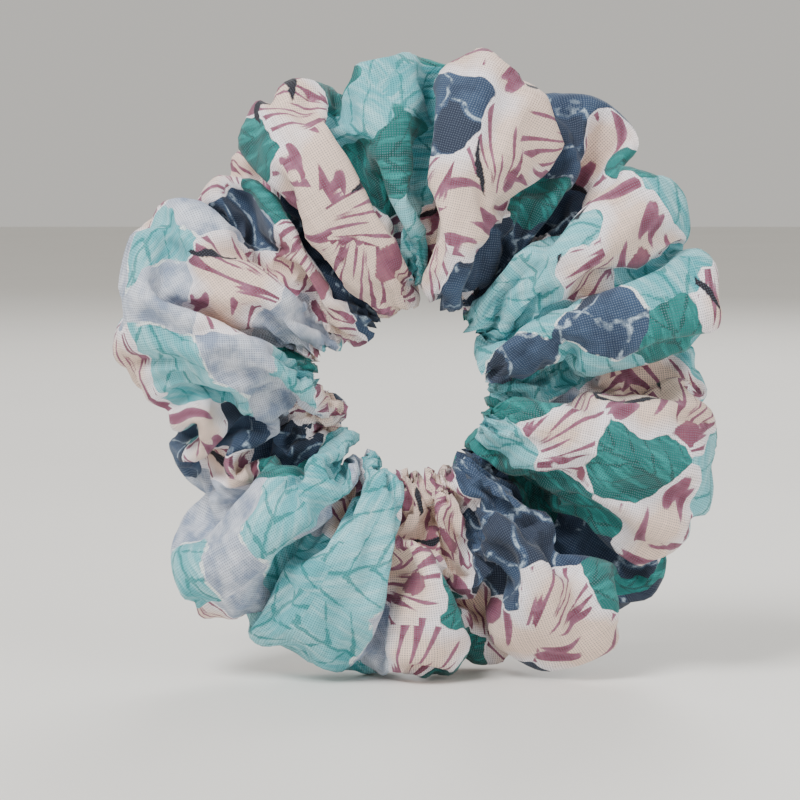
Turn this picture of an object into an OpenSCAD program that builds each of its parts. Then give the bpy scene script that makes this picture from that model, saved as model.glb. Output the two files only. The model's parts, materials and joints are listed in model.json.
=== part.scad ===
// Gathered fabric hair tie: a printed cotton tube shirred onto a loop of flat elastic.
// It stands upright on its flattened underside: +Z is up, the loop's axis runs along Y,
// and the origin is the middle of the footprint. All lengths are in millimetres.

/* [Ring] */
// Width over the gathered ring, before the creases cut in
ring_w = 114; // [106:1:120]
// Height of the ring as it stands
ring_h = 118; // [110:1:124]
// Depth of the gathered tube from front to back
ring_d = 42; // [38:1:48]
// Height of the slice that the surface under the ring presses flat
rest_press = 4; // [2:0.5:6]

/* [Opening] */
// Width of the opening that the hair goes through
hole_w = 28; // [24:1:32]
// Height of the opening
hole_h = 31; // [27:1:35]
// Sideways place of the opening, from the middle of the ring
hole_side = -3; // [-4:0.5:4]
// Height of the opening's middle above the surface
hole_z = 55; // [53:0.5:60]

/* [Gathers] */
// Number of big puffs round the outer edge
puff_count = 14; // [10:2:18]
// Depth of the creases between the puffs
puff_depth = 5; // [2:0.5:7]
// How far the puffs lean to the front and to the back in turn
puff_lean = 3; // [0:0.5:4]
// Number of small pleats round the ring
pleat_count = 26; // [20:2:30]
// Depth of the small pleats on the front and the back
pleat_depth = 1; // [0:0.1:1.5]
// Thickness of the bunched fabric wall
wall = 1.1; // [0.9:0.1:1.5]
// Gap at each side, where the lower and the upper half part
half_gap = 0.3; // [0.2:0.1:0.6]

/* [Elastic] */
// Radius of the elastic loop at the middle of the band's thickness
elastic_r = 21.5; // [21:0.5:24]
// Width of the band, front to back
elastic_w = 5; // [4:0.5:7]
// Thickness of the band
elastic_t = 1; // [0.8:0.1:1.2]
// Length of the lap where the band's ends are joined
lap_len = 12; // [10:1:14]
// Number of zigzag stitches across the lap
lap_stitches = 8; // [6:1:10]

/* [Thread] */
// Thickness of the sewing thread
thread_d = 0.4; // [0.3:0.05:0.5]
// Number of top stitches that close the turning gap
closing_count = 12; // [8:1:14]

/* [Hidden] */

// The ring's outer outline is an ellipse that reaches rest_press below the surface
ring_z = (ring_h - rest_press) / 2;
outline_h = ring_h + rest_press;

// Fineness of the gathered tube: sections over one half, and points round a section
half_steps = 60;
section_points = 18;

// The long seam runs on the back of the tube's inner side, at this angle round the section
seam_angle = 55;
// Clear space between the cover's wall and the threads inside it
seam_clear = 0.3;
seam_sides = 6;
long_seam_inset = wall + seam_clear + thread_d / 2;
end_seam_inset = long_seam_inset + thread_d + seam_clear;
end_seam_turn = 228;
closing_from = 236;
closing_to = 264;
closing_fill = 0.7;
lap_turn = 290;
lap_angle = lap_len / elastic_r * 180 / PI;

// Puffs are uneven in width: the turn is warped before it is counted in puffs
function puff_turn(t) = puff_count / 2 * (t + 7 * sin(2 * t + 35) + 3 * sin(3 * t));
// 0 in the crease between two puffs, 1 at the top of a puff
function puff(t) = pow(abs(sin(puff_turn(t))), 0.6);
// Front-to-back lean of a puff, turning from one side to the other at each crease
function lean(t) = puff_lean * sin(puff_turn(t));
function pleat(t) = pleat_depth * sin(pleat_count * t);

function hole_edge(t) = [hole_side + hole_w / 2 * cos(t), 0, hole_z + hole_h / 2 * sin(t)];
function outer_edge(t) =
    let (crease = puff_depth * (1 - puff(t)))
    [(ring_w / 2 - crease) * cos(t), 0, ring_z + (outline_h / 2 - crease) * sin(t)];

// Point on the gathered tube before it is centred: t turns round the ring, f round the tube's
// section from its inner side by way of the back, and inset is the depth below the outer skin
function raw_point(t, f, inset) =
    let (
        inner = hole_edge(t),
        outer = outer_edge(t),
        reach = norm(outer - inner) / 2,
        out = (outer - inner) / (2 * reach),
        middle = (outer + inner) / 2,
        half_depth = ring_d / 2 - puff_lean - 2 * (1 - puff(t)) + pleat(t) * (1 - cos(f)) / 2,
        along = middle - (reach - inset) * cos(f) * out,
        y = (half_depth - inset) * sin(f) + lean(t) * (1 - cos(f)) / 2
    )
    [along.x, y, max(along.z, inset)];

// The uneven puffs put the ring a little off its outline's middle: this shift centres it
outer_skin_points = [
    for (i = [0:2 * half_steps - 1], k = [0:section_points - 1])
        raw_point(180 * i / half_steps, 360 * k / section_points, 0)
];
skin_x = [for (p = outer_skin_points) p.x];
skin_y = [for (p = outer_skin_points) p.y];
centring = -[max(skin_x) + min(skin_x), max(skin_y) + min(skin_y), 0] / 2;

function tube_point(t, f, inset) = raw_point(t, f, inset) + centring;
opening_middle = [hole_side, 0, hole_z] + centring;

// Rings of points over a turn from t0 to t1, at one depth below the skin
function skin(t0, t1, inset) = [
    for (i = [0:half_steps], k = [0:section_points - 1])
        tube_point(t0 + (t1 - t0) * i / half_steps, 360 * k / section_points, inset)
];

// Quads between two rows of a grid of points that closes round each row
function row_quads(row, points, base, flip) = [
    for (k = [0:points - 1])
        let (
            a = base + row * points + k,
            b = base + row * points + (k + 1) % points,
            quad = [a, b, b + points, a + points]
        )
        flip ? [quad[3], quad[2], quad[1], quad[0]] : quad
];

// Half of the tube as a hollow shell, open into its channel at both ends
module half_cover(t0, t1) {
    outer_skin = skin(t0, t1, 0);
    inner_skin = skin(t0, t1, wall);
    inner_base = len(outer_skin);
    last = half_steps * section_points;
    sides = [
        for (i = [0:half_steps - 1])
            each concat(row_quads(i, section_points, 0, false),
                        row_quads(i, section_points, inner_base, true))
    ];
    ends = [
        for (k = [0:section_points - 1])
            let (n = (k + 1) % section_points)
            each [[k, inner_base + k, inner_base + n, n],
                  [last + n, inner_base + last + n, inner_base + last + k, last + k]]
    ];
    triangles = [for (q = concat(sides, ends)) each [[q[0], q[1], q[2]], [q[0], q[2], q[3]]]];
    polyhedron(points = concat(outer_skin, inner_skin), faces = triangles, convexity = 10);
}

// Round thread swept along a path; a closed path joins its last ring to its first
module thread_along(path, closed = false) {
    count = len(path);
    function ahead(i) = closed ? path[(i + 1) % count] : path[min(i + 1, count - 1)];
    function behind(i) = closed ? path[(i + count - 1) % count] : path[max(i - 1, 0)];
    function ring_at(i) =
        let (
            dir = ahead(i) - behind(i),
            flat = closed ? [cos(end_seam_turn + 90), 0, sin(end_seam_turn + 90)] : [0, 1, 0],
            u = cross(dir, flat) / norm(cross(dir, flat)),
            v = cross(dir, u) / norm(cross(dir, u))
        )
        [for (k = [0:seam_sides - 1])
            let (a = 360 * k / seam_sides)
            path[i] + thread_d / 2 * (cos(a) * u + sin(a) * v)];
    points = [for (i = [0:count - 1]) each ring_at(i)];
    total = len(points);
    rows = closed ? count : count - 1;
    sides = [
        for (i = [0:rows - 1])
            for (q = row_quads(i, seam_sides, 0, true))
                each [[q[0] % total, q[1] % total, q[2] % total], [q[0] % total, q[2] % total, q[3] % total]]
    ];
    caps = closed ? [] : [
        [for (k = [0:seam_sides - 1]) k],
        [for (k = [seam_sides - 1:-1:0]) total - seam_sides + k]
    ];
    polyhedron(points = points, faces = concat(sides, caps), convexity = 10);
}

// Straight bar of thread between two points
module stitch(from, to) {
    run = to - from;
    translate(from)
        rotate([0, acos(run.z / norm(run)), atan2(run.y, run.x)])
            cylinder(h = norm(run), d = thread_d, $fn = 16);
}

function seam_path(t0, t1, steps) =
    [for (i = [0:steps]) tube_point(t0 + (t1 - t0) * i / steps, seam_angle, long_seam_inset)];

module cover_lower() {
    color("#7cc3c6")
        half_cover(180, 360);
}

module cover_upper() {
    color("#e6dcde")
        translate([0, 0, half_gap])
            half_cover(0, 180);
}

// Flat band round the opening, with a second layer over the lap
module elastic_band() {
    color("#f2f1ec")
        translate(opening_middle + [0, elastic_w / 2, 0])
            rotate([90, 0, 0]) {
                difference() {
                    cylinder(h = elastic_w, r = elastic_r + elastic_t / 2, $fn = 96);
                    translate([0, 0, -1])
                        cylinder(h = elastic_w + 2, r = elastic_r - elastic_t / 2, $fn = 96);
                }
                rotate([0, 0, lap_turn - lap_angle / 2])
                    rotate_extrude(angle = lap_angle, $fn = 96)
                        translate([elastic_r + elastic_t / 2 - elastic_t / 10, 0])
                            square([elastic_t * 1.1, elastic_w]);
            }
}

// Zigzag across the lap: a bar on each face of the band for every stitch
module elastic_join_stitches() {
    edge = elastic_w / 2 - thread_d * 2;
    step = lap_angle / (lap_stitches + 1);
    lap_face = elastic_r + elastic_t * 1.5 + thread_d * 0.4;
    under_face = elastic_r - elastic_t / 2 - thread_d * 0.4;
    function stitch_end(r, t, side) = opening_middle + [r * cos(t), side * edge, r * sin(t)];
    color("#fbfaf6")
        for (i = [0:lap_stitches - 1], r = [lap_face, under_face]) {
            side = i % 2 == 0 ? 1 : -1;
            t = lap_turn - lap_angle / 2 + step * (i + 0.6);
            stitch(stitch_end(r, t, -side), stitch_end(r, t + step * 0.8, side));
        }
}

module long_seam_thread_lower() {
    color("#d9d4cc")
        thread_along(seam_path(180, 360, half_steps));
}

module long_seam_thread_upper() {
    color("#d9d4cc")
        translate([0, 0, half_gap])
            thread_along(seam_path(0, 180, half_steps));
}

// Seam that joins the tube's two ends, all round the inside of one section
module end_seam_thread() {
    ring_points = section_points * 2;
    color("#d9d4cc")
        thread_along([for (k = [0:ring_points - 1]) tube_point(end_seam_turn, 360 * k / ring_points, end_seam_inset)],
                     closed = true);
}

// Row of top stitches over the turning gap, lying on the skin beside the long seam
module closing_stitches() {
    step = (closing_to - closing_from) / closing_count;
    color("#4d8f8c")
        for (i = [0:closing_count - 1]) {
            t = closing_from + step * i;
            stitch(tube_point(t, seam_angle, -thread_d * 0.4),
                   tube_point(t + step * closing_fill, seam_angle, -thread_d * 0.4));
        }
}

cover_lower();
cover_upper();
elastic_band();
elastic_join_stitches();
long_seam_thread_lower();
long_seam_thread_upper();
end_seam_thread();
closing_stitches();
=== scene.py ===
import json
import math

import bpy
import numpy as np
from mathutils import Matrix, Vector


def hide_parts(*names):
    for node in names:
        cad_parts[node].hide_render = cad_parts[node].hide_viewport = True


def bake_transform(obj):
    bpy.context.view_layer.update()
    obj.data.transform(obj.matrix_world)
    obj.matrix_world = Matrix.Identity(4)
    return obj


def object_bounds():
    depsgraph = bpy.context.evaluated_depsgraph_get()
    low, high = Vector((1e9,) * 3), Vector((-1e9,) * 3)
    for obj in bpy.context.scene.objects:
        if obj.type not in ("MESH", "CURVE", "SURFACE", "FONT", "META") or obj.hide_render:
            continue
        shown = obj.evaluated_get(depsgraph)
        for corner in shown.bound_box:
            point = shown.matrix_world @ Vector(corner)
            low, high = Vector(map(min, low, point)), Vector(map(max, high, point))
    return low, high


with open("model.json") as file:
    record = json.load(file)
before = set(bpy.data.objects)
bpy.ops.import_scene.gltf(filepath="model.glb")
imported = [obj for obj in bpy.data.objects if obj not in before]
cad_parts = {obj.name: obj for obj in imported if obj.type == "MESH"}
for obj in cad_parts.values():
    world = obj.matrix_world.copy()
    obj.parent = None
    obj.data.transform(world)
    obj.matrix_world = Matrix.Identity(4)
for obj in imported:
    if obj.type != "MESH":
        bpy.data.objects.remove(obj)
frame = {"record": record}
cad_low, cad_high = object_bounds()
bpy.ops.object.select_all(action="DESELECT")
scene = bpy.context.scene

# ---- Camera -----------------------------------------------------------------------------
# It looks straight at the ring's face from a little above, with a long lens.
camera_distance = 0.55
camera_rise = math.radians(5)
view_width = 0.150
ring_middle = (cad_low + cad_high) / 2
aim_from_middle = Vector((-0.003, 0, -0.0065))
camera_aim = ring_middle + aim_from_middle
camera_back = Vector((0, -math.cos(camera_rise), math.sin(camera_rise)))
bpy.ops.object.camera_add(location=camera_aim + camera_back * camera_distance)
camera = bpy.context.object
camera.name = "camera"
camera.rotation_euler = (-camera_back).to_track_quat("-Z", "Y").to_euler()
camera.data.lens = camera.data.sensor_width * camera_distance / view_width
camera.data.clip_start = 0.01
scene.camera = camera


# ---- Floor and light --------------------------------------------------------------------
# A wide pale floor, a pale grey surround, a large soft key from the upper left and a weak
# fill from the right.
def srgb(code, alpha=1.0):
    """A colour written as six hex digits, turned into the linear values that sockets take."""
    parts = [int(code[i:i + 2], 16) / 255 for i in (0, 2, 4)]
    return [p / 12.92 if p <= 0.04045 else ((p + 0.055) / 1.055) ** 2.4 for p in parts] + [alpha]


def add_node(tree, kind, inputs=None, **settings):
    """Adds a shader node, sets its settings, and links or sets each named or numbered input."""
    made = tree.nodes.new(kind)
    for name, value in settings.items():
        setattr(made, name, value)
    for socket, value in (inputs or {}).items():
        if isinstance(value, bpy.types.NodeSocket):
            tree.links.new(value, made.inputs[socket])
        else:
            made.inputs[socket].default_value = value
    return made


def maths(tree, operation, *values, clamp=False):
    """One arithmetic step; returns its output socket."""
    made = add_node(tree, "ShaderNodeMath", dict(enumerate(values)), operation=operation,
                    use_clamp=clamp)
    return made.outputs[0]


def new_material(name, roughness, sheen=0.0, specular=0.5):
    """A material with an empty tree but for its Principled shader, which is returned too."""
    material = bpy.data.materials.new(name)
    material.use_nodes = True
    shader = material.node_tree.nodes["Principled BSDF"]
    shader.inputs["Roughness"].default_value = roughness
    shader.inputs["Sheen Weight"].default_value = sheen
    shader.inputs["Sheen Roughness"].default_value = 0.4
    shader.inputs["Specular IOR Level"].default_value = specular
    return material, material.node_tree, shader


floor_size = 6.0
bpy.ops.mesh.primitive_plane_add(size=floor_size, location=(0, 0, 0))
floor = bpy.context.object
floor.name = "floor"
floor_material, floor_tree, floor_shader = new_material("pale_floor", 0.55, specular=0.3)
floor_grain = add_node(floor_tree, "ShaderNodeTexNoise", {"Scale": 40.0, "Detail": 3.0})
floor_tone = add_node(floor_tree, "ShaderNodeMix", {0: floor_grain.outputs[0], 6: srgb("dfddd8"),
                                                    7: srgb("e6e4e0")}, data_type="RGBA")
floor_tree.links.new(floor_tone.outputs[2], floor_shader.inputs["Base Color"])
floor.data.materials.append(floor_material)

surround = bpy.data.worlds.new("surround")
surround.use_nodes = True
surround.node_tree.nodes["Background"].inputs["Color"].default_value = srgb("d6d3cd")
surround.node_tree.nodes["Background"].inputs["Strength"].default_value = 0.9
scene.world = surround


def soft_light(name, place, size, power):
    """A square soft box that points at the middle of the ring."""
    bpy.ops.object.light_add(type="AREA", location=place)
    lamp = bpy.context.object
    lamp.name = name
    lamp.data.size = size
    lamp.data.energy = power
    lamp.rotation_euler = (ring_middle - Vector(place)).to_track_quat("-Z", "Y").to_euler()


soft_light("key_light", (-0.45, -0.55, 0.85), 0.4, 15.0)
soft_light("fill_light", (0.8, -0.6, 0.35), 0.6, 4.0)
soft_light("back_light", (0.2, 0.9, 0.7), 0.5, 6.0)


# ---- Cover: the cloth -------------------------------------------------------------------
# One strip of thin plain-weave cotton, sewn into a tube and drawn up on the elastic until it
# stands in deep folds. A tube of the strip's own size is pulled in at its creases and settled
# as cloth, first coarsely and then with twice the threads.
cloth_length = 0.580
cloth_round = 0.108
cloth_thickness = 0.00035
columns, rows = 224, 36
sim_scale = 10.0
hole_centre = Vector(frame["record"]["mounts"][1]["pos_m"])
hole_middle = hole_centre - ring_middle
first_crease = math.radians(194)
pull_frames, coarse_frames, fine_frames = 36, 50, 10
coarse_bending, fine_bending = 0.02, 0.015
elastic_reach_x, elastic_reach_z = 0.0140, 0.0172
elastic_core = 0.0035
crease_hold, puff_hold, gather_hold, gather_step = 0.8, 0.4, 0.6, 2
crease_half_depth = 0.003
lean_at_start = 0.6
cloth_floor, floor_start = -0.0583, -0.11
floor_waits_until, floor_rests_from = 0.4, 0.85

# Each puff, clockwise from the left as seen from the front: the angle of the crease before it,
# its share of the cloth, how far out that crease reaches, its tips as (part of the puff, angle,
# reach, lean), and how far its inner side swells into the opening. Degrees and millimetres.
puffs = [
    (194, 78, 40, [(0.2, 193, 51, 0), (0.5, 169, 55, -3), (0.8, 147, 62, -1)], 1),
    (156, 44, 43, [(0.5, 136, 58, 2)], 8), (104, 36, 50, [(0.5, 117, 63, -3)], 5),
    (94, 34, 52, [(0.5, 97, 65, -2)], 4), (82, 38, 52, [(0.5, 79, 65, -5)], 5),
    (61, 38, 46, [(0.5, 56, 67, 3)], 4), (42, 28, 48, [(0.5, 34, 59, -4)], 7),
    (26, 36, 50, [(0.5, 13, 64, -3)], 8), (10, 26, 44, [(0.5, -4, 55, 3)], 6),
    (-12, 45, 42, [(0.35, -14, 53, -3), (0.65, -28, 61, -4)], 3), (-42, 24, 50, [(0.5, -47, 64, 4)], 1),
    (-54, 34, 55, [(0.5, -62, 67, -3)], 2), (-70, 22, 52, [(0.5, -79, 59, 3)], 4),
    (-84, 24, 51, [(0.5, -94, 58, -4)], 8), (-104, 40, 52, [(0.35, -106, 59, -3), (0.65, -120, 64, -2)], 7),
    (-128, 40, 53, [(0.4, -134, 63, -3), (0.7, -147, 57, -3)], 3), (-147, 26, 46, [(0.5, -158, 50, 2)], 1),
]
puff_share = np.array([puff[1] for puff in puffs]) / sum(puff[1] for puff in puffs)
puff_begins = np.concatenate([[0], np.cumsum(puff_share)])


def around(angle, reach_x, reach_z, depth=0.0):
    """A point at an angle round the ring's axis, seen from the front."""
    return np.array([reach_x * math.cos(angle), depth, reach_z * math.sin(angle)])


def loose_tube(across, along):
    """The sewn tube before it is drawn up: a wide ring, one row of points per step along it."""
    turn = first_crease - 2 * np.pi * np.arange(across) / across
    section = 2 * np.pi * np.arange(along) / along
    turn, section = np.meshgrid(turn, section, indexing="ij")
    big, small = cloth_length / (2 * np.pi), cloth_round / (2 * np.pi)
    reach = big - small * np.cos(section)
    return np.stack([reach * np.cos(turn), small * np.sin(section), reach * np.sin(turn)], -1)


def tube_of(name, points, capped=False):
    """A tube of quads on a grid of points. It closes on itself, or has a cap at each end."""
    across, along = points.shape[:2]
    column, row = (part.ravel() for part in np.meshgrid(np.arange(across - capped), np.arange(along),
                                                        indexing="ij"))
    beside, above = (column + 1) % across, (row + 1) % along
    faces = np.stack([column * along + row, column * along + above,
                      beside * along + above, beside * along + row], -1).tolist()
    if capped:
        last = across * along - 1
        faces += [list(range(along)), list(range(last, last - along, -1))]
    mesh = bpy.data.meshes.new(name)
    mesh.from_pydata(points.reshape(-1, 3).tolist(), [], faces)
    tube = bpy.data.objects.new(name, mesh)
    scene.collection.objects.link(tube)
    return tube


def crease_plan(start):
    """Where the held points of the cloth go, and how firmly each is held."""
    goal, hold = start.copy(), np.zeros(start.shape[:2])
    middle = np.array(hole_middle)
    # Between the creases, the elastic gathers the inner edge, and each puff swells past it
    for column in range(0, columns, gather_step):
        k = np.searchsorted(puff_begins, column / columns, side="right") - 1
        part = (column / columns - puff_begins[k]) / puff_share[k]
        after = puffs[k + 1][0] if k + 1 < len(puffs) else puffs[0][0] - 360
        turn = math.radians(puffs[k][0] + (after - puffs[k][0]) * part)
        swell = puffs[k][4] / 1000 * math.sin(math.pi * part)
        goal[column, 0] = middle + around(turn, elastic_reach_x - swell, elastic_reach_z - swell,
                                          -swell / 2)
        hold[column, 0] = gather_hold
    for k, (angle, _, crease_reach, tips, _) in enumerate(puffs):
        column = round(puff_begins[k] * columns) % columns
        turn = math.radians(angle)
        for step in (-1, 0, 1):
            bend = step * cloth_round / rows / elastic_core
            out = elastic_core * (1 - math.cos(bend))
            goal[column, step] = middle + around(turn, elastic_reach_x + out, elastic_reach_z + out,
                                                 elastic_core * math.sin(bend))
            hold[column, step] = 1
        before = math.radians(puffs[k - 1][3][-1][1] + (360 if k == 0 else 0))
        between = (before + math.radians(tips[0][1])) / 2
        crease_tip = around(between, crease_reach / 1000, crease_reach / 1000)
        goal[column, rows // 2], hold[column, rows // 2] = crease_tip, crease_hold
        for row, side in ((rows // 4, 1), (3 * rows // 4, -1)):
            goal[column, row] = (goal[column, 0] + crease_tip) / 2
            goal[column, row, 1] = side * crease_half_depth
            hold[column, row] = crease_hold
        for part, tip_angle, reach, lean in tips:
            tip = round((puff_begins[k] + puff_share[k] * part) * columns) % columns
            top = around(math.radians(tip_angle), reach / 1000, reach / 1000, lean / 1000)
            for step in (-1, 0, 1):
                at = (tip + step) % columns
                goal[at, rows // 2], hold[at, rows // 2] = top, puff_hold
    return goal, hold


def puff_seeds(start):
    """A slight lean of each puff to its side, so that the cloth knows which way to fold."""
    part = np.arange(columns) / columns
    outward = (1 - np.cos(2 * np.pi * np.arange(rows) / rows)) / 2
    for k, puff in enumerate(puffs):
        inside = (part >= puff_begins[k]) & (part < puff_begins[k + 1])
        lean = np.mean([tip[3] for tip in puff[3]]) / 1000 * lean_at_start
        wave = lean * np.sin(np.pi * (part[inside] - puff_begins[k]) / puff_share[k])
        start[inside, :, 1] += wave[:, None] * outward
    return start


def settle(slack, start, goal, hold, frames, pull, bending, floor_from):
    """Runs the cloth: its springs rest at the slack shape, it starts at start, and its held
    points travel to goal while the floor comes up. Returns the settled points."""
    cloth = tube_of("settling_cloth", slack * sim_scale)
    cloth.shape_key_add(name="slack")
    first = cloth.shape_key_add(name="start")
    first.data.foreach_set("co", (start * sim_scale).ravel().astype(np.float32))
    last = cloth.shape_key_add(name="drawn_up")
    last.data.foreach_set("co", (goal * sim_scale).ravel().astype(np.float32))
    last.relative_key = first
    first.value = 1
    for value, at in ((0, 1), (1, pull)):
        last.value = value
        last.keyframe_insert("value", frame=at)
    for curve in cloth.data.shape_keys.animation_data.action.fcurves:
        for point in curve.keyframe_points:
            point.interpolation = "LINEAR"
    held = cloth.vertex_groups.new(name="held")
    for column, row in zip(*np.nonzero(hold)):
        held.add([int(column * hold.shape[1] + row)], float(hold[column, row]), "REPLACE")

    physics = cloth.modifiers.new("Cloth", "CLOTH")
    fabric, contact = physics.settings, physics.collision_settings
    fabric.quality = 6 if pull > 2 else 5
    fabric.mass = 0.15
    fabric.tension_stiffness = fabric.compression_stiffness = 40
    fabric.shear_stiffness = 15
    fabric.bending_stiffness = bending
    fabric.tension_damping = fabric.compression_damping = fabric.shear_damping = 5
    fabric.bending_damping = 0.5
    fabric.air_damping = 3
    fabric.vertex_group_mass = "held"
    fabric.pin_stiffness = 3
    fabric.rest_shape_key = cloth.data.shape_keys.key_blocks["slack"]
    fabric.use_pressure = True
    fabric.uniform_pressure_force = 0.18
    fabric.effector_weights.gravity = 0
    contact.distance_min = 0.01
    contact.collision_quality = 3
    contact.use_self_collision = True
    contact.self_distance_min = 0.009 if pull > 2 else 0.006
    contact.self_friction = 3
    physics.point_cache.frame_start, physics.point_cache.frame_end = 1, frames

    bpy.ops.mesh.primitive_plane_add(size=4, location=(0, 0, floor_from * sim_scale))
    board = bpy.context.object
    bpy.ops.object.modifier_add(type="COLLISION")
    board.collision.thickness_outer = 0.004
    board.collision.cloth_friction = 2
    for at in (1, max(2, int(frames * floor_waits_until))):
        board.keyframe_insert("location", frame=at)
    board.location.z = cloth_floor * sim_scale
    board.keyframe_insert("location", frame=max(3, int(frames * floor_rests_from)))

    scene.frame_start, scene.frame_end = 1, frames
    for at in range(1, frames + 1):
        scene.frame_set(at)
    settled = np.empty(hold.size * 3)
    drawn = cloth.evaluated_get(bpy.context.evaluated_depsgraph_get())
    drawn.data.vertices.foreach_get("co", settled)
    for used in (board, cloth):
        bpy.data.objects.remove(used)
    scene.frame_set(1)
    return settled.reshape(start.shape) / sim_scale


def between_rows(points, axis):
    """Twice as many points along an axis of a grid that closes on itself, on smooth curves."""
    a, b = points, np.roll(points, -1, axis)
    middle = (9 * (a + b) - np.roll(points, 1, axis) - np.roll(points, -2, axis)) / 16
    shape = list(points.shape)
    shape[axis] *= 2
    return np.stack([a, middle], axis + 1).reshape(shape)


def draw_up():
    """The cover's points in the ring's own frame, as (column, row, xyz)."""
    slack = loose_tube(columns, rows)
    start = puff_seeds(slack.copy())
    goal, hold = crease_plan(start)
    coarse = settle(slack, start, goal, hold, coarse_frames, pull_frames, coarse_bending, floor_start)
    fine = between_rows(between_rows(coarse, 0), 1)
    fine_hold = np.zeros((2 * columns, 2 * rows))
    fine_hold[::2, ::2] = np.where(hold >= 1, 1, hold / 2)
    return settle(loose_tube(2 * columns, 2 * rows), fine, fine, fine_hold, fine_frames, 2,
                  fine_bending, cloth_floor)


cloth_points = draw_up()
columns, rows = cloth_points.shape[:2]

# The puffs are smoothed a little; the gathers of the inner side keep their small pleats
puff_smoothing, smoothing_rounds = 0.5, 3
smoothed_share = (1 - np.cos(2 * np.pi * np.arange(rows) / rows))[None, :, None] / 2 * puff_smoothing
for smoothing in range(smoothing_rounds):
    around_it = sum(np.roll(cloth_points, step, axis) for step in (-1, 1) for axis in (0, 1)) / 4
    cloth_points += (around_it - cloth_points) * smoothed_share

# The settled cloth is set on the floor, at the CAD ring's height and middle
cloth_low, cloth_high = cloth_points.min((0, 1)), cloth_points.max((0, 1))
fit = (cad_high.z - cad_low.z) / (cloth_high[2] - cloth_low[2])
squeeze = (cad_high.x - cad_low.x) / (cloth_high[0] - cloth_low[0]) / fit
cloth_points = (cloth_points - (cloth_low + cloth_high) / 2) * fit * (squeeze, 1, 1)
cloth_points += np.array(ring_middle)

# The cloth goes round the band: its inner edge is eased in past the band, and what lies
# against the band's two edges is eased off them
band_width, band_thickness = 0.005, 0.0009
band_reach_x = (elastic_reach_x + elastic_core) * fit * squeeze
band_reach_z = (elastic_reach_z + elastic_core) * fit
from_hole = cloth_points - np.array(hole_centre)
turn = np.arctan2(from_hole[..., 2] / band_reach_z, from_hole[..., 0] / band_reach_x)
band_reach = np.hypot(band_reach_x * np.cos(turn), band_reach_z * np.sin(turn))
off_band = np.hypot(from_hole[..., 0], from_hole[..., 2]) - band_reach
inner_rows, inner_clear, wrap_reach = 9, 0.0015, 0.002
band_clear, most_eased = 0.0006, 0.012
drawn_rounds, drawn_fade = 3, 0.9
eased_rounds, eased_fade = 4, 0.85
too_far = np.clip(off_band[:, 0] + inner_clear, 0, None)
drawn_in = too_far
for smoothing in range(drawn_rounds):
    drawn_in = np.maximum(too_far, (np.roll(drawn_in, 1) + np.roll(drawn_in, -1)) / 2 * drawn_fade)
for row in range(-inner_rows, inner_rows + 1):
    share = drawn_in * math.cos(row / inner_rows * math.pi / 2) ** 2
    cloth_points[:, row, 0] -= share * np.cos(turn[:, row])
    cloth_points[:, row, 2] -= share * np.sin(turn[:, row])
from_hole = cloth_points - np.array(hole_centre)
off_band = np.hypot(from_hole[..., 0], from_hole[..., 2]) - band_reach
clear_depth = (band_width / 2 + band_clear) * np.sqrt(np.clip(1 - (off_band / wrap_reach) ** 2, 0, 1))
side = np.where(np.arange(rows) < rows / 2, 1.0, -1.0)
side[[0, rows // 2]] = 0
needed = np.clip(clear_depth - cloth_points[..., 1] * side, 0, most_eased)
needed *= np.abs(side) * (clear_depth > 0)
eased = needed
for smoothing in range(eased_rounds):
    around_it = sum(np.roll(eased, step, axis) for step in (-1, 1) for axis in (0, 1)) / 4
    eased = np.maximum(needed, around_it * eased_fade)
cloth_points[..., 1] += eased * side

# The long seam is a fine groove along one row of points, on the back of the inner side
seam_turn, end_seam_part = 55 / 360, 0.912
seam_row, end_seam_column = round(seam_turn * rows), round(end_seam_part * columns)
groove_depth = 0.0006
groove_profile = ((-1, 0.3), (0, 1.0), (1, 0.3))
cover = tube_of("cover", cloth_points)
bpy.context.view_layer.objects.active = cover
cover.select_set(True)
bpy.ops.object.mode_set(mode="EDIT")
bpy.ops.mesh.select_all(action="SELECT")
bpy.ops.mesh.normals_make_consistent(inside=False)
bpy.ops.object.mode_set(mode="OBJECT")
outward = np.empty(cloth_points.size)
cover.data.vertices.foreach_get("normal", outward)
outward = outward.reshape(cloth_points.shape)
for step, share in groove_profile:
    cloth_points[:, seam_row + step] -= outward[:, seam_row + step] * groove_depth * share
cover.data.vertices.foreach_set("co", cloth_points.ravel().astype(np.float32))
bpy.ops.object.shade_smooth()

# Steep folds stay crisp, so that the shading never rounds a face away from the eye
crisp_fold = math.radians(60)
bpy.ops.object.mode_set(mode="EDIT")
bpy.ops.mesh.select_mode(type="EDGE")
bpy.ops.mesh.select_all(action="DESELECT")
bpy.ops.mesh.edges_select_sharp(sharpness=crisp_fold)
bpy.ops.mesh.mark_sharp()
bpy.ops.mesh.select_mode(type="VERT")
bpy.ops.object.mode_set(mode="OBJECT")

# ---- Cover: the print ---------------------------------------------------------------------
# A loose painted floral, printed on the flat cloth before it is cut: big pale blossoms with
# plum brush strokes, aqua and green leaves, and a navy ground. Each corner of each face knows
# its place on the flat strip, in millimetres, and how near the middle of each motif is.
corner_point = np.empty(len(cover.data.loops), int)
cover.data.loops.foreach_get("vertex_index", corner_point)


def flat_place(number, cut, count, length):
    """Where the corners of each face lie across the flat strip, which is cut along a seam, in
    millimetres."""
    steps = ((number - cut) % count).reshape(-1, 4)
    wraps = steps.max(1) - steps.min(1) > 2
    steps[wraps] = np.where(steps[wraps] == 0, count, steps[wraps])
    return steps * (length * fit * 1000 / count)


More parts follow.
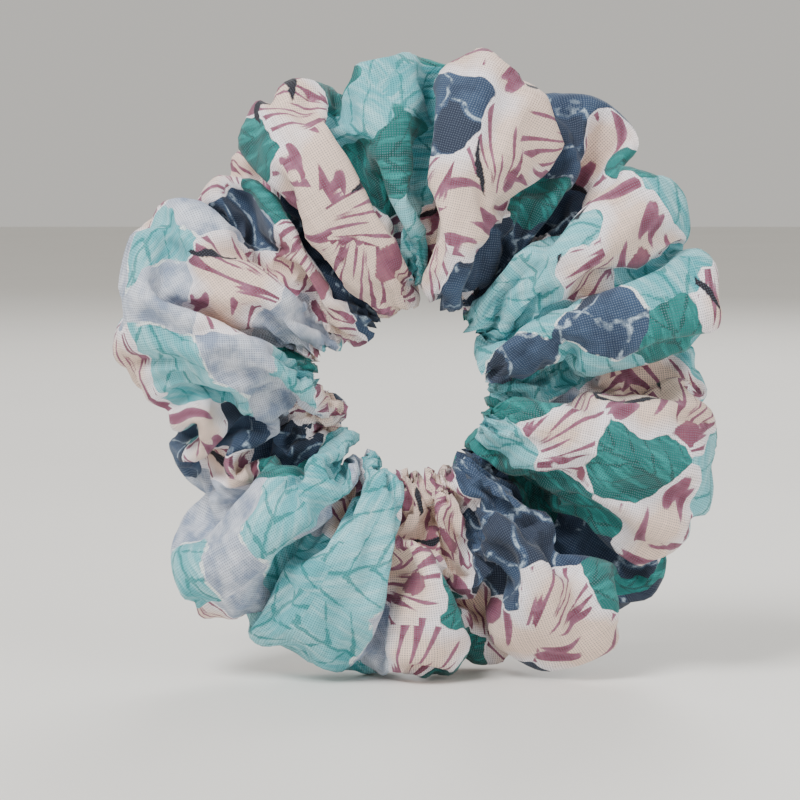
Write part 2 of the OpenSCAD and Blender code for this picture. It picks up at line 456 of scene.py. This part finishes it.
flat_u = flat_place(corner_point // rows, end_seam_column, columns, cloth_length)
flat_v = flat_place(corner_point % rows, seam_row, rows, cloth_round)
flat_uv = cover.data.uv_layers.new(name="flat_cloth")
flat_uv.data.foreach_set("uv", np.stack([flat_u, flat_v], -1).ravel() / 1000)

# The colours that lead on each puff's stretch of the cloth, in the puffs' own order. The motifs
# themselves are scattered at random, a little apart, and some are of any colour.
leading_colours = (
    "mist petal aqua", "navy petal", "petal", "green aqua", "petal", "navy green", "aqua petal",
    "aqua green", "petal aqua", "green petal", "green navy", "petal navy", "petal", "petal green",
    "aqua", "aqua mist", "petal navy")
leading_part = 0.75
ground_share = {"petal": 0.36, "aqua": 0.26, "green": 0.13, "navy": 0.15, "mist": 0.10}
motif_gap, scatter_tries = 11.5, 6000
stray, petal_marks = 9, {"plum": 60, "ink": 45}
scatter = np.random.default_rng(11)
motifs = {kind: [] for kind in [*ground_share, "plum", "ink"]}
taken = np.full((1, 2), -np.inf)
for attempt in range(scatter_tries):
    place = scatter.uniform((0, 0), (flat_u.max(), flat_v.max()))
    if np.hypot(*(taken - place).T).min() < motif_gap:
        continue
    taken = np.vstack([taken, place])
    along_strip = (place[0] / flat_u.max() + end_seam_column / columns) % 1
    leading = leading_colours[np.searchsorted(puff_begins, along_strip, side="right") - 1].split()
    if scatter.random() < leading_part:
        kind = scatter.choice(leading)
    else:
        kind = scatter.choice(list(ground_share), p=list(ground_share.values()))
    motifs[kind].append(tuple(place))
for kind, count in petal_marks.items():
    for spot in scatter.permutation(np.array(motifs["petal"]))[:count]:
        motifs[kind].append(tuple(spot + scatter.uniform(-stray, stray, 2)))


def motif_field(kind, stretch):
    """For each corner: the distance to the nearest motif of a kind, the place along and across
    the motif that its face is nearest to, and a number of that motif's own from 0 to 1. A motif
    is stretched along its own direction."""
    spots = np.array(motifs[kind], np.float32)
    turn = scatter.uniform(0, 2 * np.pi, len(spots)).astype(np.float32)
    du = flat_u.astype(np.float32)[..., None] - spots[:, 0]
    dv = flat_v.astype(np.float32)[..., None] - spots[:, 1]
    along, across = du * np.cos(turn) + dv * np.sin(turn), dv * np.cos(turn) - du * np.sin(turn)
    distance = np.hypot(along / stretch, across * stretch)
    nearest = distance.mean(1).argmin(1)[:, None, None]
    picked = [np.take_along_axis(field, nearest, 2)[..., 0] for field in (along, across)]
    own = np.take(scatter.random(len(spots)), nearest[..., 0]) + np.zeros(flat_u.shape)
    return np.stack([distance.min(2)] + picked + [own], -1)


def store(name, values):
    """Keeps three values for each corner of each face, for the material to read."""
    layer = cover.data.attributes.new(name, "FLOAT_VECTOR", "CORNER")
    layer.data.foreach_set("vector", values.astype(np.float32).ravel())


motif_stretch = {"petal": 1.08, "aqua": 1.2, "green": 1.2, "navy": 1.0, "mist": 1.0, "plum": 1.25,
                 "ink": 1.0}
fields = {kind: motif_field(kind, stretch) for kind, stretch in motif_stretch.items()}
for kind in ("petal", "aqua", "green", "ink"):
    store(kind, fields[kind][..., :3])
gather = (1 + np.cos(2 * np.pi * (corner_point % rows).reshape(-1, 4) / rows)) / 2
store("ground", np.stack([fields["navy"][..., 0], fields["mist"][..., 0], gather], -1))
store("stain", np.stack([fields["plum"][..., 0], fields["petal"][..., 3], fields["ink"][..., 3]], -1))


# The weave is shared by the cotton and the elastic: threads that pass over and under, the
# pores between them, which carry painted shade except in the cotton's dark print, where they show pale bare
# thread, and threads that are a little thicker or paler here and there.
def new_group(name, inputs, outputs):
    """An empty node group with float or vector inputs and float outputs."""
    group = bpy.data.node_groups.new(name, "ShaderNodeTree")
    for label, value in inputs.items():
        kind = "NodeSocketVector" if value is None else "NodeSocketFloat"
        socket = group.interface.new_socket(label, in_out="INPUT", socket_type=kind)
        if value is not None:
            socket.default_value = value
    for label in outputs:
        group.interface.new_socket(label, in_out="OUTPUT", socket_type="NodeSocketFloat")
    return group, group.nodes.new("NodeGroupInput").outputs, group.nodes.new("NodeGroupOutput").inputs


cotton_pitch, braid_pitch = 0.45, 0.5
weave, weave_in, weave_out = new_group("weave", {"Place": None, "Pitch": cotton_pitch},
                                       ("Height", "Pore", "Thread Tone"))
in_threads = add_node(weave, "ShaderNodeVectorMath", {0: weave_in["Place"]}, operation="SCALE")
weave.links.new(maths(weave, "DIVIDE", math.pi, weave_in["Pitch"]), in_threads.inputs["Scale"])
wobble = add_node(weave, "ShaderNodeTexNoise", {"Vector": weave_in["Place"], "Scale": 0.6, "Detail": 1.0})
wobble_off = add_node(weave, "ShaderNodeVectorMath", {0: wobble.outputs["Color"], 1: (-0.5, -0.5, -0.5)},
                      operation="ADD")
wobbled = add_node(weave, "ShaderNodeVectorMath", {0: wobble_off.outputs[0], 1: (2.2, 2.2, 0),
                                                   2: in_threads.outputs[0]}, operation="MULTIPLY_ADD")
thread_turn = add_node(weave, "ShaderNodeSeparateXYZ", {0: wobbled.outputs[0]})
wave_u, wave_v = maths(weave, "SINE", thread_turn.outputs[0]), maths(weave, "SINE", thread_turn.outputs[1])
round_u, round_v = maths(weave, "MULTIPLY", wave_u, wave_u), maths(weave, "MULTIPLY", wave_v, wave_v)
over = maths(weave, "MULTIPLY", maths(weave, "COSINE", thread_turn.outputs[0]),
             maths(weave, "COSINE", thread_turn.outputs[1]))
warp_top = maths(weave, "MULTIPLY_ADD", over, 0.25, maths(weave, "MULTIPLY", round_u, 0.75))
weft_top = maths(weave, "MULTIPLY_ADD", over, -0.25, maths(weave, "MULTIPLY", round_v, 0.75))
thread_height = maths(weave, "MAXIMUM", warp_top, weft_top)
weave.links.new(thread_height, weave_out["Height"])
gap = maths(weave, "MULTIPLY", maths(weave, "SUBTRACT", 1.0, round_u),
            maths(weave, "SUBTRACT", 1.0, round_v))
weave.links.new(maths(weave, "POWER", gap, 1.1), weave_out["Pore"])
tones = []
for along_thread in ((0.05, 2.4, 0), (2.4, 0.05, 0)):
    drawn_out = add_node(weave, "ShaderNodeVectorMath", {0: weave_in["Place"], 1: along_thread},
                         operation="MULTIPLY")
    tones.append(add_node(weave, "ShaderNodeTexNoise", {"Vector": drawn_out.outputs[0], "Scale": 1.0,
                                                        "Detail": 1.0}).outputs[0])
weave.links.new(maths(weave, "MULTIPLY", maths(weave, "ADD", *tones), 0.5), weave_out["Thread Tone"])

cotton, cotton_tree, cotton_shader = new_material("printed_cotton", 0.85, sheen=0.14, specular=0.25)
flat_map = add_node(cotton_tree, "ShaderNodeUVMap", uv_map="flat_cloth")
place_mm = add_node(cotton_tree, "ShaderNodeVectorMath", {0: flat_map.outputs[0], "Scale": 1000.0},
                    operation="SCALE").outputs[0]


def noise(scale, detail=2.0, rough=0.5, place=place_mm, output="Fac", **settings):
    """Soft noise over the flat cloth; the scale is in features per millimetre."""
    made = add_node(cotton_tree, "ShaderNodeTexNoise", {"Vector": place, "Scale": scale, "Detail": detail,
                                                        "Roughness": rough}, **settings)
    return made.outputs[output]


def stored(name):
    """The three values kept for a motif."""
    read = add_node(cotton_tree, "ShaderNodeAttribute", attribute_name=name)
    return add_node(cotton_tree, "ShaderNodeSeparateXYZ", {0: read.outputs["Vector"]}).outputs


def below(low, high, soft=0.3):
    """1 where low is below high, with a border a little soft, like ink on thread."""
    over = maths(cotton_tree, "SUBTRACT", high, low)
    return maths(cotton_tree, "MULTIPLY_ADD", over, 1 / soft, 0.5, clamp=True)


def both(a, b):
    """Two masks at once."""
    return maths(cotton_tree, "MULTIPLY", a, b)


def blend_colour(share, under, upper, mode="MIX"):
    """One colour laid over another, by a share or a mask."""
    return add_node(cotton_tree, "ShaderNodeMix", {0: share, 6: under, 7: upper}, data_type="RGBA",
                    blend_type=mode).outputs[2]


def spread(value, low, high, to_low=0.0, to_high=1.0):
    """Stretches a range of values to another, held at both ends."""
    made = add_node(cotton_tree, "ShaderNodeMapRange", {0: value, 1: low, 2: high, 3: to_low, 4: to_high})
    return made.outputs[0]


def squeezed(across_scale, along_scale, across, along, shift=0.0):
    """A place for noise that is drawn out along a motif."""
    joined = add_node(cotton_tree, "ShaderNodeCombineXYZ", {0: both(across, across_scale),
                                                            1: both(along, along_scale), 2: shift})
    return joined.outputs[0]


wander = add_node(cotton_tree, "ShaderNodeSeparateXYZ", {0: noise(0.11, 2.0, output="Color")}).outputs
fray = maths(cotton_tree, "MULTIPLY_ADD", noise(0.9, 3.0, 0.65), 1.6, -0.8)
petal, aqua, green, ink, ground, stain = (stored(name) for name in
                                          ("petal", "aqua", "green", "ink", "ground", "stain"))


def strayed(distance, noise_value, reach):
    """A distance whose borders wander and fray."""
    moved = maths(cotton_tree, "MULTIPLY_ADD", noise_value, reach, distance)
    return maths(cotton_tree, "ADD", moved, fray)


wide_noise = noise(0.035, 2.0)
mid_noise = noise(0.16, 3.0, 0.6)
fine_noise = noise(0.55, 3.0, 0.6)

# Navy ground: darker stones, outlined in broken pale blue
navy_far = strayed(ground[0], wander[0], 10.0)
stone_scale = 0.085
bent = add_node(cotton_tree, "ShaderNodeVectorMath", {0: noise(0.13, output="Color"), 1: (9, 9, 0),
                                                      2: place_mm}, operation="MULTIPLY_ADD").outputs[0]
stones = add_node(cotton_tree, "ShaderNodeTexVoronoi", {"Vector": bent, "Scale": stone_scale},
                  voronoi_dimensions="2D", feature="DISTANCE_TO_EDGE").outputs["Distance"]
stone_tone = add_node(cotton_tree, "ShaderNodeTexVoronoi", {"Vector": bent, "Scale": stone_scale},
                      voronoi_dimensions="2D").outputs["Color"]
stone_shade = add_node(cotton_tree, "ShaderNodeSeparateXYZ", {0: stone_tone}).outputs[0]
navy_colour = blend_colour(spread(mid_noise, 0.35, 0.65), srgb("233149"), srgb("324662"))
dark_stone = both(below(stone_shade, 0.42, 0.1), below(0.07, stones, 0.05))
navy_colour = blend_colour(dark_stone, navy_colour, srgb("232b3d"))
pale_line = both(below(stones, 0.032, 0.03), below(0.47, fine_noise, 0.14))
navy_colour = blend_colour(both(pale_line, below(0.45, mid_noise, 0.1)), navy_colour, srgb("a9bccd"))

# Mist: pale watercolour between the leaves
mist_far = strayed(ground[1], wander[1], 10.0)
mist_colour = blend_colour(spread(mid_noise, 0.38, 0.62), srgb("d5dae5"), srgb("8f9db5"))
colour = blend_colour(below(mist_far, navy_far), navy_colour, mist_colour)
nearest_far = maths(cotton_tree, "MINIMUM", navy_far, mist_far)


def vein_mask(along, across, pitch, slant, width):
    """Side veins that leave the midrib at a slant, and the midrib itself."""
    side = maths(cotton_tree, "ABSOLUTE", maths(cotton_tree, "MULTIPLY_ADD", mid_noise, 1.5, across))
    bowed = maths(cotton_tree, "MULTIPLY_ADD", mid_noise, 2.0, along)
    run = maths(cotton_tree, "MULTIPLY_ADD", side, slant, bowed)
    fold = maths(cotton_tree, "PINGPONG", run, pitch / 2)
    taper = spread(side, 0.0, 9.0, width, width * 0.15)
    veins = below(fold, both(taper, spread(fine_noise, 0.35, 0.6)), 0.35)
    off_rib = maths(cotton_tree, "SUBTRACT", across, 1.5)
    rib = below(maths(cotton_tree, "ABSOLUTE", maths(cotton_tree, "MULTIPLY_ADD", mid_noise, 3.0, off_rib)),
                0.35, 0.3)
    return maths(cotton_tree, "MAXIMUM", veins, rib)


# Aqua leaves: brushed from pale to deep aqua, with darker veins
aqua_far = strayed(aqua[0], wander[2], 10.0)
aqua_brush = noise(1.0, 3.0, 0.6, place=squeezed(0.5, 0.07, aqua[2], aqua[1]))
aqua_colour = blend_colour(spread(wide_noise, 0.35, 0.62), srgb("82c9d2"), srgb("50a7b0"))
aqua_colour = blend_colour(spread(aqua_brush, 0.45, 0.7), aqua_colour, srgb("a8dae0"))
aqua_colour = blend_colour(both(vein_mask(aqua[1], aqua[2], 6.5, 0.9, 0.9), 0.75), aqua_colour,
                           srgb("1f7f80"))
colour = blend_colour(below(aqua_far, nearest_far), colour, aqua_colour)
aqua_line = maths(cotton_tree, "ABSOLUTE", maths(cotton_tree, "SUBTRACT", aqua_far, nearest_far))
colour = blend_colour(both(below(aqua_line, 0.7), below(0.52, mid_noise, 0.05)), colour, srgb("e9f0f0"))
nearest_far = maths(cotton_tree, "MINIMUM", nearest_far, aqua_far)

# Green leaves: deep green, brushed with lighter strokes
green_far = strayed(green[0], maths(cotton_tree, "SUBTRACT", 1.0, wander[0]), 10.0)
green_brush = noise(1.0, 3.0, 0.6, place=squeezed(0.6, 0.08, green[2], green[1]))
green_colour = blend_colour(spread(wide_noise, 0.4, 0.6), srgb("0a5450"), srgb("1a7571"))
green_colour = blend_colour(spread(green_brush, 0.5, 0.62), green_colour, srgb("35918e"))
green_colour = blend_colour(both(vein_mask(green[1], green[2], 5.0, 1.1, 0.8), 0.8), green_colour,
                            srgb("0b443f"))
colour = blend_colour(below(green_far, nearest_far), colour, green_colour)
nearest_far = maths(cotton_tree, "MINIMUM", nearest_far, green_far)

# Petals: white at the rim and warm inside, with tapered plum strokes and plum stains
petal_far = strayed(petal[0], maths(cotton_tree, "SUBTRACT", 1.0, wander[2]), 10.0)
rim = maths(cotton_tree, "SUBTRACT", nearest_far, petal_far)
petal_colour = blend_colour(spread(maths(cotton_tree, "MULTIPLY_ADD", mid_noise, 8.0, rim), 5.0, 12.0),
                            srgb("f8f2f7"), srgb("edd3c3"))
reach = maths(cotton_tree, "ADD", petal[1], 16.0)
fan = maths(cotton_tree, "ARCTAN2", petal[2], reach)
far_out = maths(cotton_tree, "SQRT", maths(cotton_tree, "ADD", both(petal[2], petal[2]),
                                           both(reach, reach)))
petal_own = stain[1]
brush_edge, fanned_part = 0.575, 0.55
strokes = noise(1.0, 0.5, 0.4, place=squeezed(11.0, 0.06, fan, far_out, shift=3.0))
stroke_mask = both(below(maths(cotton_tree, "MULTIPLY_ADD", fray, 0.02, brush_edge), strokes, 0.025),
                   below(petal_own, fanned_part, 0.001))
arcs = noise(1.0, 0.5, 0.4, place=squeezed(0.36, 1.5, far_out, fan, shift=7.0))
arc_mask = both(below(maths(cotton_tree, "MULTIPLY_ADD", fray, 0.02, brush_edge), arcs, 0.025),
                below(fanned_part, petal_own, 0.001))
plum_depth = spread(maths(cotton_tree, "MAXIMUM", strokes, arcs), 0.58, 0.72)
plum_tone = blend_colour(spread(fine_noise, 0.4, 0.6), srgb("8c5066"), srgb("a5738a"))
plum_tone = blend_colour(plum_depth, plum_tone, srgb("743a4e"))
inside_rim = below(0.9, rim)
petal_colour = blend_colour(both(maths(cotton_tree, "MAXIMUM", stroke_mask, arc_mask), inside_rim),
                            petal_colour, plum_tone)
stain_far = strayed(stain[0], wander[1], 7.0)
petal_colour = blend_colour(both(below(stain_far, 6.6), inside_rim), petal_colour,
                            blend_colour(spread(mid_noise, 0.4, 0.6), srgb("7d4257"), srgb("99606f")))
colour = blend_colour(below(petal_far, nearest_far), colour, petal_colour)
nearest_far = maths(cotton_tree, "MINIMUM", nearest_far, petal_far)

# Ink: short black brush strokes that swell in the middle
ink_bow = maths(cotton_tree, "MULTIPLY_ADD", both(ink[1], ink[1]), 0.035, ink[2])
ink_side = maths(cotton_tree, "ABSOLUTE", maths(cotton_tree, "MULTIPLY_ADD", mid_noise, 2.4,
                                                maths(cotton_tree, "SUBTRACT", ink_bow, 1.2)))
ink_width = maths(cotton_tree, "SUBTRACT", maths(cotton_tree, "MULTIPLY_ADD", stain[2], 0.7, 0.6),
                  both(both(ink[1], ink[1]), 0.020))
ink_mask = below(maths(cotton_tree, "MULTIPLY_ADD", fray, 0.5, ink_side), ink_width)
on_petal = below(maths(cotton_tree, "SUBTRACT", petal_far, 1.5), nearest_far)
ink_mask = both(ink_mask, on_petal)
colour = blend_colour(ink_mask, colour, srgb("1d1a22"))

# The weave shows through the print: in pale ink the pores get painted shade, and in dark ink they are pale
# where bare thread shows
cotton_weave = add_node(cotton_tree, "ShaderNodeGroup", node_tree=weave)
cotton_tree.links.new(place_mm, cotton_weave.inputs["Place"])
cotton_weave.inputs["Pitch"].default_value = cotton_pitch
brightness = add_node(cotton_tree, "ShaderNodeRGBToBW", {0: colour}).outputs[0]
# Painted shade in the pores of pale print; pale bare thread in the pores of dark print
pore_shade_and_bare_thread = blend_colour(spread(brightness, 0.06, 0.22), blend_colour(0.34, colour, srgb("9fb0c4")),
                           blend_colour(1.0, colour, (0.30, 0.30, 0.34, 1.0), mode="MULTIPLY"))
pore_share = both(cotton_weave.outputs["Pore"], spread(brightness, 0.01, 0.05, 0.4, 0.95))
colour = blend_colour(pore_share, colour, pore_shade_and_bare_thread)
thread_tone = spread(cotton_weave.outputs["Thread Tone"], 0.3, 0.7, 0.86, 1.12)
toned = add_node(cotton_tree, "ShaderNodeVectorMath", {0: colour}, operation="SCALE")
cotton_tree.links.new(thread_tone, toned.inputs["Scale"])
cotton_tree.links.new(toned.outputs[0], cotton_shader.inputs["Base Color"])
cotton_roughness = spread(cotton_weave.outputs["Height"], 0.0, 1.0, 0.95, 0.78)
cotton_tree.links.new(cotton_roughness, cotton_shader.inputs["Roughness"])

# Fine crinkles run out from the gathered side, and soft creases cross the rest
flat_xyz = add_node(cotton_tree, "ShaderNodeSeparateXYZ", {0: place_mm}).outputs
crinkle = noise(1.0, 3.0, 0.6, place=squeezed(0.34, 0.05, flat_xyz[0], flat_xyz[1]))
gathered = spread(ground[2], 0.15, 1.0, 0.12, 1.0)
crease = add_node(cotton_tree, "ShaderNodeTexNoise", {"Vector": place_mm, "Scale": 0.09, "Detail": 3.0},
                  noise_type="RIDGED_MULTIFRACTAL").outputs[0]
wrinkle_height = maths(cotton_tree, "MULTIPLY_ADD", both(crinkle, gathered), 1.3,
                       maths(cotton_tree, "MULTIPLY", crease, 0.10))
wrinkle_bump = add_node(cotton_tree, "ShaderNodeBump", {"Strength": 0.8, "Distance": 0.001,
                                                        "Height": wrinkle_height})
weave_bump = add_node(cotton_tree, "ShaderNodeBump", {"Strength": 0.55, "Distance": 0.00016,
                                                      "Height": cotton_weave.outputs["Height"],
                                                      "Normal": wrinkle_bump.outputs[0]})
cotton_tree.links.new(weave_bump.outputs[0], cotton_shader.inputs["Normal"])
cover.data.materials.append(cotton)


def give_wall(piece, thickness):
    """Gives a sheet its thickness, inwards from the surface that shows."""
    bpy.ops.object.select_all(action="DESELECT")
    bpy.context.view_layer.objects.active = piece
    piece.select_set(True)
    wall = piece.modifiers.new("wall", "SOLIDIFY")
    wall.thickness, wall.offset = thickness, -1
    bpy.ops.object.modifier_apply(modifier=wall.name)


give_wall(cover, cloth_thickness)


def finish_piece(piece, slot, *nodes):
    """The piece stands for its CAD nodes, which are hidden, and its place is baked into its mesh."""
    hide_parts(*nodes)
    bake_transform(piece)


finish_piece(cover, "printed_cotton", "cover_lower", "cover_upper")


# ---- Elastic ------------------------------------------------------------------------------
# A flat braided band, 5 mm wide, cut a little longer than its loop: one end laps over the
# other. The cover's inner edge is drawn up on it, so it stays out of sight.
lap_middle, lap_length = math.radians(290), 0.012
band_steps, band_sides, braid_ribs, band_step_length = 320, 40, 7, 0.00045
half_lap = lap_length / 2 / band_reach_z
turns = np.linspace(lap_middle - half_lap, lap_middle + 2 * math.pi + half_lap, band_steps)
# The last stretch of the band climbs over the first
climb = np.clip((turns - (turns[-1] - 4 * half_lap)) / (2 * half_lap), 0, 1)
lift = band_thickness * 1.05 * climb * climb * (3 - 2 * climb)
section = 2 * np.pi * np.arange(band_sides) / band_sides
flat_x = band_width / 2 * np.sign(np.cos(section)) * np.abs(np.cos(section)) ** 0.6
flat_y = band_thickness / 2 * np.sign(np.sin(section)) * np.abs(np.sin(section)) ** 0.5
flat_y *= 1 - 0.22 * np.abs(np.sin(braid_ribs * np.pi * (flat_x / band_width + 0.5)) < 0.35)
reach_x = band_reach_x + lift[:, None] + flat_y
reach_z = band_reach_z + lift[:, None] + flat_y
band_points = np.stack([hole_centre.x + reach_x * np.cos(turns)[:, None],
                        np.broadcast_to(flat_x, reach_x.shape),
                        hole_centre.z + reach_z * np.sin(turns)[:, None]], -1)
elastic = tube_of("elastic", band_points, capped=True)


def face_out_and_smooth(piece):
    """Turns every face outwards and shades the piece smoothly."""
    bpy.ops.object.select_all(action="DESELECT")
    bpy.context.view_layer.objects.active = piece
    piece.select_set(True)
    bpy.ops.object.mode_set(mode="EDIT")
    bpy.ops.mesh.select_all(action="SELECT")
    bpy.ops.mesh.normals_make_consistent(inside=False)
    bpy.ops.object.mode_set(mode="OBJECT")
    bpy.ops.object.shade_smooth()


face_out_and_smooth(elastic)
band_uv = elastic.data.uv_layers.new(name="band")
band_corner = np.empty(len(elastic.data.loops), int)
elastic.data.loops.foreach_get("vertex_index", band_corner)
band_uv.data.foreach_set("uv", np.stack([(band_corner // band_sides) * band_step_length,
                                         flat_x[band_corner % band_sides]], -1).ravel())
braid, braid_tree, braid_shader = new_material("braided_elastic", 0.75, sheen=0.15, specular=0.3)
band_map = add_node(braid_tree, "ShaderNodeUVMap", uv_map="band")
band_mm = add_node(braid_tree, "ShaderNodeVectorMath", {0: band_map.outputs[0], "Scale": 1000.0},
                   operation="SCALE").outputs[0]
slanted = add_node(braid_tree, "ShaderNodeMapping", {"Vector": band_mm,
                                                     "Rotation": (0, 0, math.radians(45))})
braid_weave = add_node(braid_tree, "ShaderNodeGroup", node_tree=weave)
braid_tree.links.new(slanted.outputs[0], braid_weave.inputs["Place"])
braid_weave.inputs["Pitch"].default_value = braid_pitch
# The elastic is white all through; the grey in the pores between its threads is painted shade
braid_with_pore_shade = add_node(braid_tree, "ShaderNodeMix", {0: braid_weave.outputs["Pore"], 6: srgb("f1efe9"),
                                                    7: srgb("9a958a")}, data_type="RGBA").outputs[2]
braid_tone = add_node(braid_tree, "ShaderNodeMapRange", {0: braid_weave.outputs["Thread Tone"], 1: 0.3,
                                                         2: 0.7, 3: 0.88, 4: 1.05}).outputs[0]
braid_toned = add_node(braid_tree, "ShaderNodeVectorMath", {0: braid_with_pore_shade}, operation="SCALE")
braid_tree.links.new(braid_tone, braid_toned.inputs["Scale"])
braid_tree.links.new(braid_toned.outputs[0], braid_shader.inputs["Base Color"])
braid_rough = add_node(braid_tree, "ShaderNodeMapRange", {0: braid_weave.outputs["Height"], 3: 0.85,
                                                          4: 0.62})
braid_tree.links.new(braid_rough.outputs[0], braid_shader.inputs["Roughness"])
braid_bump = add_node(braid_tree, "ShaderNodeBump", {"Strength": 0.6, "Distance": 0.0002,
                                                     "Height": braid_weave.outputs["Height"]})
braid_tree.links.new(braid_bump.outputs[0], braid_shader.inputs["Normal"])
elastic.data.materials.append(braid)
finish_piece(elastic, "braided_elastic", "elastic_band")


# ---- Stitches on the elastic ----------------------------------------------------------------
# Eight slanted stitches of polyester thread go to and fro across the lap, on both faces of the
# doubled band, and hold its ends together.
thread_width = 0.0004


def thread(name, runs, closed=False):
    """Lengths of sewing thread that follow runs of points, as one mesh."""
    bpy.ops.object.select_all(action="DESELECT")
    line = bpy.data.curves.new(name, "CURVE")
    line.dimensions = "3D"
    line.bevel_depth, line.bevel_resolution, line.use_fill_caps = thread_width / 2, 2, True
    for run in runs:
        spline = line.splines.new("POLY")
        spline.points.add(len(run) - 1)
        spline.points.foreach_set("co", np.hstack([run, np.ones((len(run), 1))]).ravel())
        spline.use_cyclic_u = closed
    piece = bpy.data.objects.new(name, line)
    scene.collection.objects.link(piece)
    bpy.context.view_layer.objects.active = piece
    piece.select_set(True)
    bpy.ops.object.convert(target="MESH")
    face_out_and_smooth(piece)
    return piece


def spun_thread(name, code, groove_shade_code):
    """Polyester thread: two plies twisted together, with a slight shine, and painted shade in the grooves
    between the plies.
    """
    material, tree, shader = new_material(name, 0.5, sheen=0.1, specular=0.5)
    place = add_node(tree, "ShaderNodeTexCoord").outputs["Object"]
    ply = add_node(tree, "ShaderNodeTexWave", {"Vector": place, "Scale": 900.0, "Distortion": 2.0},
                   bands_direction="DIAGONAL")
    tone = add_node(tree, "ShaderNodeTexNoise", {"Vector": place, "Scale": 700.0, "Detail": 2.0})
    # The dark colour is painted shade in the grooves between the plies, where the bump is low, varied by
    # random tone
    shade = maths(tree, "MULTIPLY", ply.outputs[1], tone.outputs[0])
    mix = add_node(tree, "ShaderNodeMix", {0: shade, 6: srgb(groove_shade_code), 7: srgb(code)}, data_type="RGBA")
    tree.links.new(mix.outputs[2], shader.inputs["Base Color"])
    rough = add_node(tree, "ShaderNodeMapRange", {0: ply.outputs[1], 3: 0.65, 4: 0.42})
    tree.links.new(rough.outputs[0], shader.inputs["Roughness"])
    bump = add_node(tree, "ShaderNodeBump", {"Strength": 0.5, "Distance": 0.0001, "Height": ply.outputs[1]})
    tree.links.new(bump.outputs[0], shader.inputs["Normal"])
    return material


pale_thread = spun_thread("pale_thread", "efebe2", "b9b3a6")
teal_thread = spun_thread("teal_thread", "5d9d99", "2c5f5d")


def band_point(turn, lift_off, side):
    """A point over the band's lap, at a height off the middle of its first layer."""
    return (hole_centre.x + (band_reach_x + lift_off) * math.cos(turn), side,
            hole_centre.z + (band_reach_z + lift_off) * math.sin(turn))


lap_stitch_count, lap_stitch_start, lap_stitch_fill = 8, 0.6, 0.8
lap_step = 2 * half_lap / (lap_stitch_count + 1)
lap_edge = band_width * 0.36
lie_on = thread_width * 0.3
over_lap, under_lap = band_thickness * 1.55 + lie_on, -band_thickness * 0.5 - lie_on
lap_runs = []
for number in range(lap_stitch_count):
    turn = lap_middle - half_lap + lap_step * (number + lap_stitch_start)
    side = lap_edge if number % 2 == 0 else -lap_edge
    ahead = turn + lap_step * lap_stitch_fill
    lap_runs.append(np.array([band_point(turn, 0, -side), band_point(turn, over_lap, -side),
                              band_point(ahead, over_lap, side), band_point(ahead, under_lap, side),
                              band_point(turn, under_lap, -side), band_point(turn, 0, -side)]))
lap_stitches = thread("elastic_stitches", lap_runs)
lap_stitches.data.materials.append(pale_thread)
finish_piece(lap_stitches, "sewing_thread", "elastic_join_stitches")


# ---- Long seam ------------------------------------------------------------------------------
# The strip's long edges are sewn together on the wrong side, so after turning the stitches lie
# just inside the groove on the back of the inner side. Each stitch dips towards the next.
seam_clear = cloth_thickness + thread_width * 0.8
seam_dip = 0.00012
dips = np.where(np.arange(columns) % 4 < 2, 0.0, seam_dip)[:, None]
seam_line = cloth_points[:, seam_row] - outward[:, seam_row] * (seam_clear + dips)
long_seam = thread("long_seam", [seam_line], closed=True)
long_seam.data.materials.append(pale_thread)
finish_piece(long_seam, "sewing_thread", "long_seam_thread_lower", "long_seam_thread_upper")


# ---- End seam -------------------------------------------------------------------------------
# The tube's two ends are joined all round, inside, at the lower left of the ring.
end_seam_clear = seam_clear + thread_width * 1.5
ring_line = cloth_points[end_seam_column] - outward[end_seam_column] * end_seam_clear
end_seam = thread("end_seam", [ring_line], closed=True)
end_seam.data.materials.append(pale_thread)
finish_piece(end_seam, "sewing_thread", "end_seam_thread")


# ---- Closing stitches -----------------------------------------------------------------------
# The gap through which the tube was turned is closed from outside, by a short row of teal top
# stitches that lie on the cotton beside the long seam.
closing_count, closing_part = 12, 0.82
closing_start = round(closing_part * columns)
closing_runs = []
for column in range(closing_start, closing_start + 2 * closing_count, 2):
    ends = [cloth_points[column + ahead, seam_row + 1] * 0.8
            + cloth_points[column + ahead, seam_row + 2] * 0.2
            + outward[column + ahead, seam_row + 1] * height
            for ahead, height in ((0, -lie_on), (0, lie_on), (1, lie_on), (1, -lie_on))]
    closing_runs.append(np.array(ends))
closing = thread("closing_stitches_top", closing_runs)
closing.data.materials.append(teal_thread)
finish_piece(closing, "sewing_thread", "closing_stitches")
